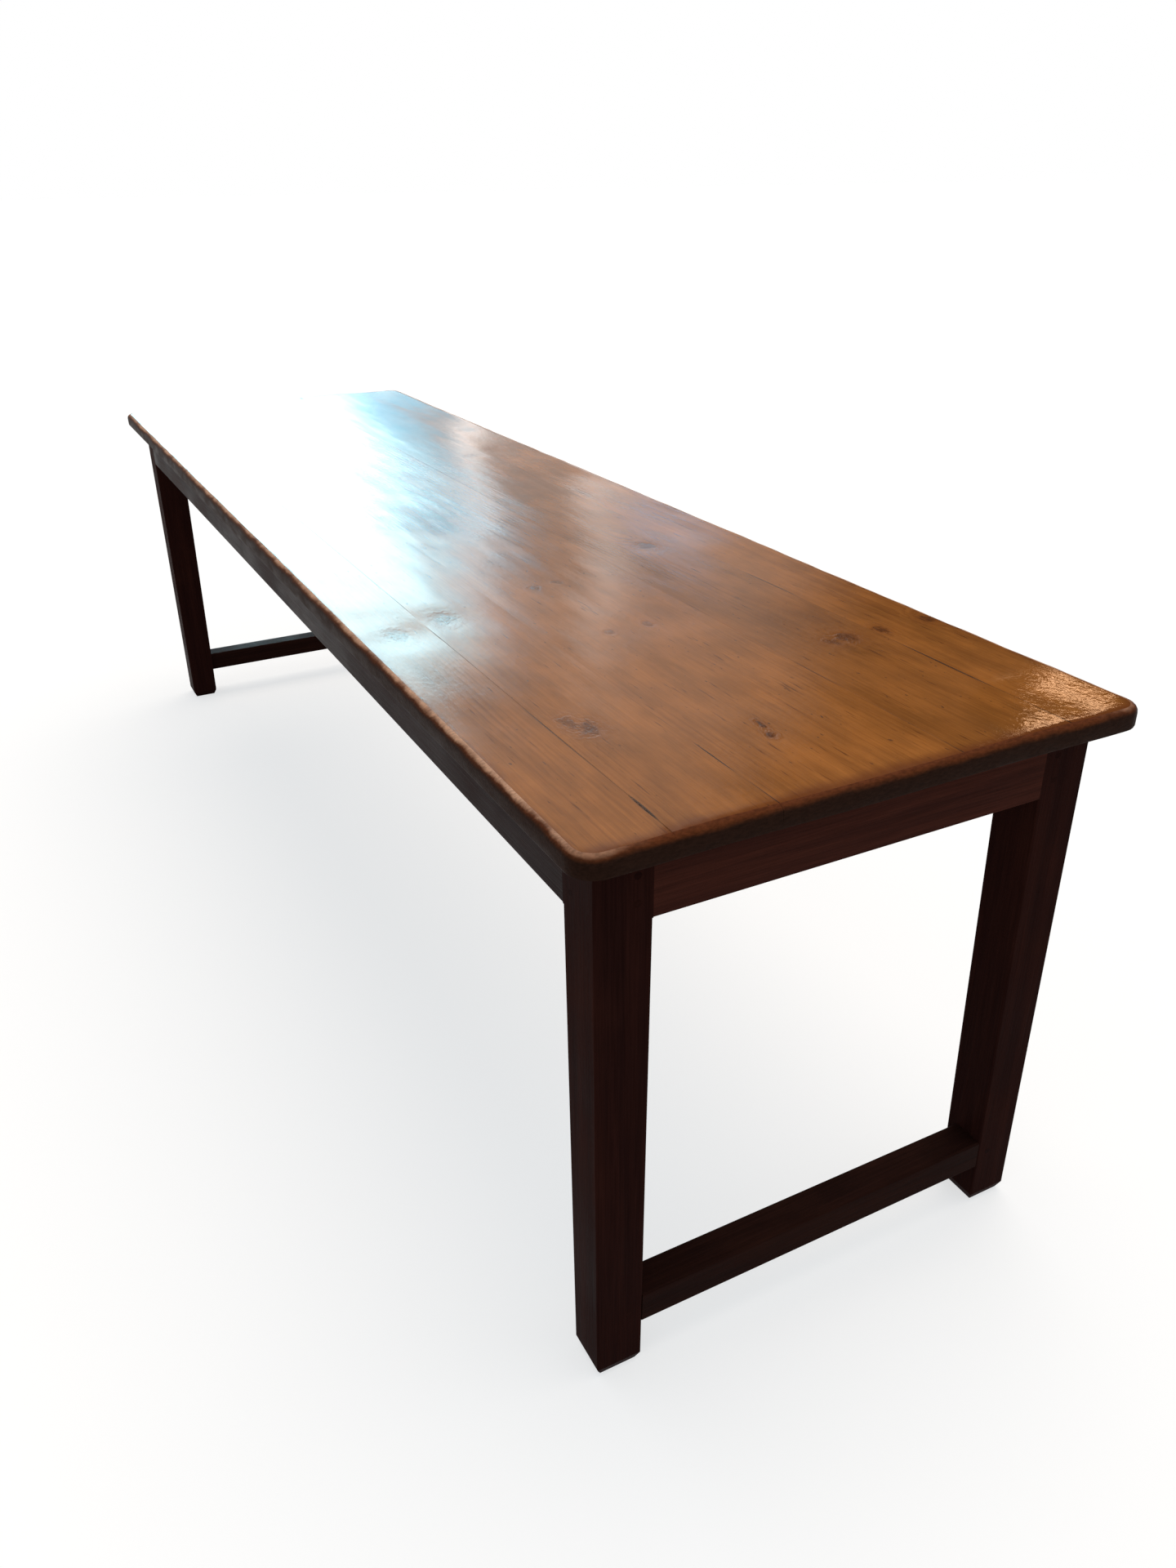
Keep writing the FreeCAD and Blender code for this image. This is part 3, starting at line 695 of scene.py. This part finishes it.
# %% Give the boards their finishes
FACE, EDGE, UNDERSIDE = 0, 1, 2
FACING_DOWN, FACING_UP = -0.95, 0.5


def side_of_board(face):
    if face.normal.z < FACING_DOWN:
        return UNDERSIDE
    flat = face.normal.z > FACING_UP and inset(face.center) > FLAT_INSET
    return FACE if flat else EDGE


for number, board in enumerate(worn_boards):
    board.data.materials.clear()
    for finish in (pine_finish(number), shaded_edge_with_highlight, raw_underside):
        board.data.materials.append(finish)
    for face in board.data.polygons:
        face.material_index = side_of_board(face)
    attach(board, "root")
    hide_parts(BOARDS[number])
print("finished boards stand for", BOARDS)

# %% [markdown]
# ## The dark stained frame
# Legs, rails and stretchers carry a red-brown stain so deep that the grain only shows where light
# slides along it. One finish for all would send the grain across some pieces, so the finish is made
# once for each kind of piece, with its streaks along the piece and with its own tone and shine. The end
# rails' tone, more than twice as light as the legs', is painted light.

# %% The stain finish
DEEP_STAIN = (0.0145, 0.0056, 0.0044)
RED_STAIN = (0.023, 0.0082, 0.0058)
RUBBED_STAIN = (0.050, 0.018, 0.011)
# waves of noise to the metre along the grain and across it
BAND_ALONG, BAND_ACROSS = 2.5, 60.0
FIBRE_ALONG, FIBRE_ACROSS = 10.0, 480.0
STAIN_DEPTH = 0.0007


def stain_finish(name, grain_axis, shift, tone, shine):
    finish, shader, place = begin_finish(name)
    band_size = [BAND_ALONG if axis == grain_axis else BAND_ACROSS for axis in range(3)]
    fibre_size = [FIBRE_ALONG if axis == grain_axis else FIBRE_ACROSS for axis in range(3)]
    bands = stretched_noise(finish, place, band_size, shift, detail=4.0, rough=0.6)
    fibre = stretched_noise(finish, place, fibre_size, shift + 2.0, detail=3.0, rough=0.7)
    clouds = stretched_noise(finish, place, (4.0, 4.0, 4.0), shift + 4.0, detail=4.0)

    colour = mix_colours(finish, ramp_between(finish, bands, 0.3, 0.75), DEEP_STAIN, RED_STAIN)
    wear_and_highlight = ramp_between(finish, clouds, 0.52, 0.75, 0.0, 0.30)
    colour = mix_colours(finish, wear_and_highlight, colour, RUBBED_STAIN)
    colour = tinted(finish, colour, tone)
    colour = tinted(finish, colour, ramp_between(finish, fibre, 0.25, 0.75, 0.78, 1.20))

    gloss = ramp_between(finish, clouds, 0.3, 0.7, 0.34, 0.52)
    streaks = ramp_between(finish, fibre, 0.3, 0.7, -0.04, 0.06)
    gloss = work_out(finish, "ADD", gloss, streaks, clamp=True)
    shader.inputs["Specular IOR Level"].default_value = shine
    join_shader(finish, shader, colour, gloss, add_share(finish, bands, fibre, 0.5), STAIN_DEPTH)
    return finish


print("stain ready")

# %% Stain the frame
LENGTHWISE, CROSSWISE, UPRIGHT = 0, 1, 2
STAINS = {
    "leg": stain_finish("stain_legs", UPRIGHT, 12.0, tone=(1.5, 1.25, 1.3), shine=0.004),
    "side_rail": stain_finish("stain_side_rails", LENGTHWISE, 2.0, tone=(1.0, 0.95, 1.1), shine=0.022),
    # painted light: the end rails' stain is lifted more than twice as light as the legs' stain
    "end_rail": stain_finish("stain_end_rails_painted_light", CROSSWISE, 7.0, tone=(3.6, 2.9, 2.7), shine=0.006),
    "end_stretcher": stain_finish("stain_stretchers", CROSSWISE, 9.0, tone=(1.25, 1.15, 1.1), shine=0.008),
}
peg_stain = stain_finish("stain_pegs", CROSSWISE, 17.0, tone=(1.2, 1.0, 1.05), shine=0.004)


def stain_of(name):
    """The stain of a piece of the frame, or None for a piece that was never stained."""
    if name.endswith("pegs"):
        return peg_stain
    return next((stain for start, stain in STAINS.items() if name.startswith(start)), None)


stained = [name for name in nodes if stain_of(name)]
for name in stained:
    nodes[name].material_slots[0].material = stain_of(name)
print("stained", len(stained), "nodes")

# %% [markdown]
# ## Bare wood and steel under the top
# Bearers, buttons and tongues were never stained, so they keep the pale brown of old raw wood, and
# the screws are dull steel with a little rust. They are seen only from below, but a reader of the
# finished part may well turn it over.

# %% Bare wood
RAW_WOOD = (0.310, 0.190, 0.098)
AGED_WOOD = (0.170, 0.092, 0.042)


def bare_wood_finish():
    finish, shader, place = begin_finish("bare_wood")
    bands = stretched_noise(finish, place, (14.0, 5.0, 30.0), detail=4.0)
    fibre = stretched_noise(finish, place, (160.0, 14.0, 260.0), 3.0, rough=0.7)
    colour = mix_colours(finish, ramp_between(finish, bands, 0.32, 0.70), RAW_WOOD, AGED_WOOD)
    colour = tinted(finish, colour, ramp_between(finish, fibre, 0.25, 0.75, 0.75, 1.18))
    gloss = ramp_between(finish, bands, 0.2, 0.8, 0.62, 0.80)
    join_shader(finish, shader, colour, gloss, work_out(finish, "ADD", bands, fibre), RAW_DEPTH)
    return finish


bare_wood = bare_wood_finish()
raw_pieces = [name for name in nodes if name.startswith(("top_tongue", "cross_bearer", "top_buttons"))]
for name in raw_pieces:
    nodes[name].material_slots[0].material = bare_wood
print("bare wood on", raw_pieces)

# %% Screw steel
STEEL = (0.230, 0.215, 0.200)
RUST = (0.095, 0.042, 0.020)
STEEL_METAL = 0.85
RUST_DEPTH = 0.0003


def screw_steel_finish():
    finish, shader, place = begin_finish("screw_steel")
    clouds = stretched_noise(finish, place, (160.0, 160.0, 160.0), detail=4.0)
    colour = mix_colours(finish, ramp_between(finish, clouds, 0.48, 0.66), STEEL, RUST)
    gloss = ramp_between(finish, clouds, 0.3, 0.7, 0.38, 0.72)
    shader.inputs["Metallic"].default_value = STEEL_METAL
    join_shader(finish, shader, colour, gloss, clouds, RUST_DEPTH)
    return finish


screw_steel = screw_steel_finish()
screws = [name for name in nodes if name.endswith("_screws")]
for name in screws:
    nodes[name].material_slots[0].material = screw_steel
print("steel on", screws)

# %% [markdown]
# ## Floor and sky
# The table stands on a plain white floor under a pale sky. A floor lit until it turns white would
# flood the dark legs with light, so the floor itself is a mid grey, and a little glow of its own,
# seen by the eye and by reflections only, lifts it to white and still leaves the table's soft shadow.
# The sky does the same: it looks white, and it lights the wood at a plain level. One wide, warm sun
# gives the light its direction.

# %% Floor
WHITE = (1.0, 1.0, 1.0)
FLOOR_GREY = (0.39, 0.39, 0.39)
FLOOR_GLOW = 0.66
FLOOR_ROUGHNESS = 0.9
FLOOR_SIZE = 160


def seen_rays(finish):
    """One for rays of the eye, of reflections and of glass, and nought for rays that light a surface."""
    ray = add_node(finish, "ShaderNodeLightPath").outputs
    seen = work_out(finish, "ADD", ray["Is Camera Ray"], ray["Is Glossy Ray"])
    return work_out(finish, "ADD", seen, ray["Is Transmission Ray"], clamp=True)


bpy.ops.object.select_all(action="DESELECT")
bpy.ops.mesh.primitive_plane_add(size=FLOOR_SIZE, location=(0, 0, 0))
floor = bpy.context.object
floor.name = "floor"
floor_finish, floor_shader = new_finish("white_floor")
floor_shader.inputs["Base Color"].default_value = opaque(FLOOR_GREY)
floor_shader.inputs["Roughness"].default_value = FLOOR_ROUGHNESS
floor_shader.inputs["Specular IOR Level"].default_value = 0.0
floor_shader.inputs["Emission Color"].default_value = opaque(WHITE)
glow = work_out(floor_finish, "MULTIPLY", seen_rays(floor_finish), FLOOR_GLOW)
floor_finish.node_tree.links.new(glow, floor_shader.inputs["Emission Strength"])
floor.data.materials.append(floor_finish)
print("floor laid,", FLOOR_SIZE, "m wide")

# %% Sky and sun
SKY_BLUE = (0.44, 0.51, 0.56)
SUN_COLOUR = (1.0, 0.84, 0.70)
SUN_STRENGTH = 1.75
SUN_SPREAD = math.radians(55)
SUN_TILT = (math.radians(-16), math.radians(-12), 0)

sky = bpy.data.worlds.new("studio_sky")
sky.use_nodes = True
scene.world = sky
sky_colour = mix_colours(sky, seen_rays(sky), SKY_BLUE, WHITE)
sky.node_tree.links.new(sky_colour, sky.node_tree.nodes["Background"].inputs["Color"])

sun = bpy.data.lights.new("wide_sun", "SUN")
sun.energy = SUN_STRENGTH
sun.angle = SUN_SPREAD
sun.color = SUN_COLOUR
high_sun = bpy.data.objects.new("wide_sun", sun)
high_sun.rotation_euler = SUN_TILT
scene.collection.objects.link(high_sun)
print("sky and sun set, sun strength", SUN_STRENGTH)

# %% [markdown]
# ## A calm reflection
# Wax mirrors whatever hangs over it, and white all round would bleach the wood. Less light would darken
# the legs as well, so the studio is hung with things that only reflections see: a grey scrim all round
# above the horizon, and one dark cloth with soft borders, whose mirror image lies on the near right of
# the top and lets the grain there look deep. The cloth, and the cards of the next step, are hung by
# their direction from the eye's own mirror image under the table top, since that is where every
# reflection on the top is seen from.

# %% Grey scrim
SCRIM_GREY = (0.52, 0.485, 0.455)
SCRIM_REACH = 40
SCRIM_RIM = 6.4


def only_reflections(thing):
    thing.visible_camera = thing.visible_diffuse = False
    thing.visible_shadow = thing.visible_transmission = False


def glowing_cloth(name, colour):
    cloth, shader = new_finish(name)
    shader.inputs["Base Color"].default_value = (0, 0, 0, 1)
    shader.inputs["Specular IOR Level"].default_value = 0.0
    shader.inputs["Emission Color"].default_value = opaque(colour)
    shader.inputs["Emission Strength"].default_value = 1.0
    return cloth, shader


bpy.ops.object.select_all(action="DESELECT")
bpy.ops.mesh.primitive_uv_sphere_add(radius=SCRIM_REACH, location=(0, 0, 0))
scrim = bpy.context.object
scrim.name = "grey_scrim"
bpy.ops.object.mode_set(mode="EDIT")
bpy.ops.mesh.select_all(action="SELECT")
bpy.ops.mesh.bisect(plane_co=(0, 0, SCRIM_RIM), plane_no=(0, 0, 1), clear_inner=True)
bpy.ops.object.mode_set(mode="OBJECT")
grey_cloth, _ = glowing_cloth("grey_cloth", SCRIM_GREY)
scrim.data.materials.append(grey_cloth)
only_reflections(scrim)
print("scrim hung", SCRIM_REACH, "m away")

# %% Dark cloth
CLOTH_DARK = (0.02, 0.02, 0.02)
CLOTH_TURN, CLOTH_RISE = 120.5, 30
CLOTH_AWAY, CLOTH_WIDE, CLOTH_HIGH = 20, 18, 24
mirrored_eye = Vector((EYE.x, EYE.y, 2 * TOP_FACE - EYE.z))


def direction(turn, rise):
    """The way to look for a turn from +X towards +Y and a rise above the level, in degrees."""
    turn, rise = math.radians(turn), math.radians(rise)
    return Vector((math.cos(turn) * math.cos(rise), math.sin(turn) * math.cos(rise), math.sin(rise)))


to_cloth = direction(CLOTH_TURN, CLOTH_RISE)
bpy.ops.object.select_all(action="DESELECT")
bpy.ops.mesh.primitive_plane_add(size=1, location=mirrored_eye + CLOTH_AWAY * to_cloth)
dark_cloth = bpy.context.object
dark_cloth.name = "dark_cloth"
dark_cloth.scale = (CLOTH_WIDE, CLOTH_HIGH, 1)
dark_cloth.rotation_euler = to_cloth.to_track_quat("-Z", "Y").to_euler()
cloth, cloth_shader = glowing_cloth("dark_cloth", CLOTH_DARK)
weave = split_axes(cloth, add_node(cloth, "ShaderNodeTexCoord").outputs["UV"])
cover = 1.0
for axis in ("X", "Y"):
    from_middle = work_out(cloth, "ABSOLUTE", work_out(cloth, "SUBTRACT", weave[axis], 0.5))
    cover = work_out(cloth, "MULTIPLY", ramp_between(cloth, from_middle, 0.5, 0.35), cover)
cloth.node_tree.links.new(cover, cloth_shader.inputs["Alpha"])
dark_cloth.data.materials.append(cloth)
only_reflections(dark_cloth)
print("dark cloth hung", CLOTH_AWAY, "m away")

# %% [markdown]
# ## Gleams on the wax
# A white gleam with a blue rim lies on the far end of the boards, two fainter strips and a lilac patch
# lie beside it, and a warm glint sits in the near right corner. Lamps strong enough to do that would
# bleach the wood too, so these are cards that only reflections see. The soft blue rim is a stack of
# cards, each a little larger and weaker than the one before.

# %% How a card is hung
CARD_AWAY = 14


def gleam_card(name, turn, rise, wide, high, colour, glow, lean=0.0):
    """A card hung by its direction; its sizes are angles, and its glow is what a mirror would show."""
    lamp = bpy.data.lights.new(name, "AREA")
    lamp.shape = "RECTANGLE"
    lamp.size, lamp.size_y = (2 * CARD_AWAY * math.tan(math.radians(angle) / 2) for angle in (wide, high))
    lamp.color = colour
    lamp.energy = glow * math.pi * lamp.size * lamp.size_y
    card = bpy.data.objects.new(name, lamp)
    scene.collection.objects.link(card)
    card.location = mirrored_eye + CARD_AWAY * direction(turn, rise)
    facing_back = (-direction(turn, rise)).to_track_quat("-Z", "Y")
    card.rotation_euler = (facing_back @ Quaternion((0, 0, 1), math.radians(lean))).to_euler()
    card.visible_camera = card.visible_diffuse = False
    print(name, round(lamp.size, 2), "by", round(lamp.size_y, 2), "m")


print("cards hang", CARD_AWAY, "m away")

# %% Cards
CORE_BLUE, RIM_BLUE = (0.52, 0.90, 1.0), (0.005, 0.64, 1.0)
WARM_WHITE, LILAC, AMBER = (1.0, 0.96, 0.92), (0.36, 0.66, 1.0), (1.0, 0.58, 0.32)
CORE_WIDE, CORE_HIGH = 8.2, 18.6
RIM_WIDER = 1.7
RIM_HIGHER = RIM_WIDER / 3
for step, glow in enumerate((6.8, 2.0, 1.6, 1.5, 1.3)):
    gleam_card(f"window_gleam_{step}", turn=166.7, rise=13.1,
               wide=CORE_WIDE + RIM_WIDER * step, high=CORE_HIGH + RIM_HIGHER * step,
               colour=RIM_BLUE if step else CORE_BLUE, glow=glow, lean=27)
gleam_card("narrow_gleam", turn=158.1, rise=12.5, wide=1.26, high=14.6, colour=WARM_WHITE, glow=1.55)
gleam_card("pale_gleam", turn=152.0, rise=14.7, wide=1.82, high=13.7, colour=WHITE, glow=1.0)
gleam_card("lilac_gleam", turn=148.6, rise=13.6, wide=4.0, high=2.8, colour=LILAC, glow=2.0)
gleam_card("warm_gleam", turn=129.2, rise=22.0, wide=3.3, high=1.0, colour=AMBER, glow=6.0, lean=32)

# %% [markdown]
# ## The colour view
# Colours are shown through the standard view transform, and the scene is brought up to date.

# %% Finish
scene.view_settings.view_transform = "Standard"
bpy.context.view_layer.update()
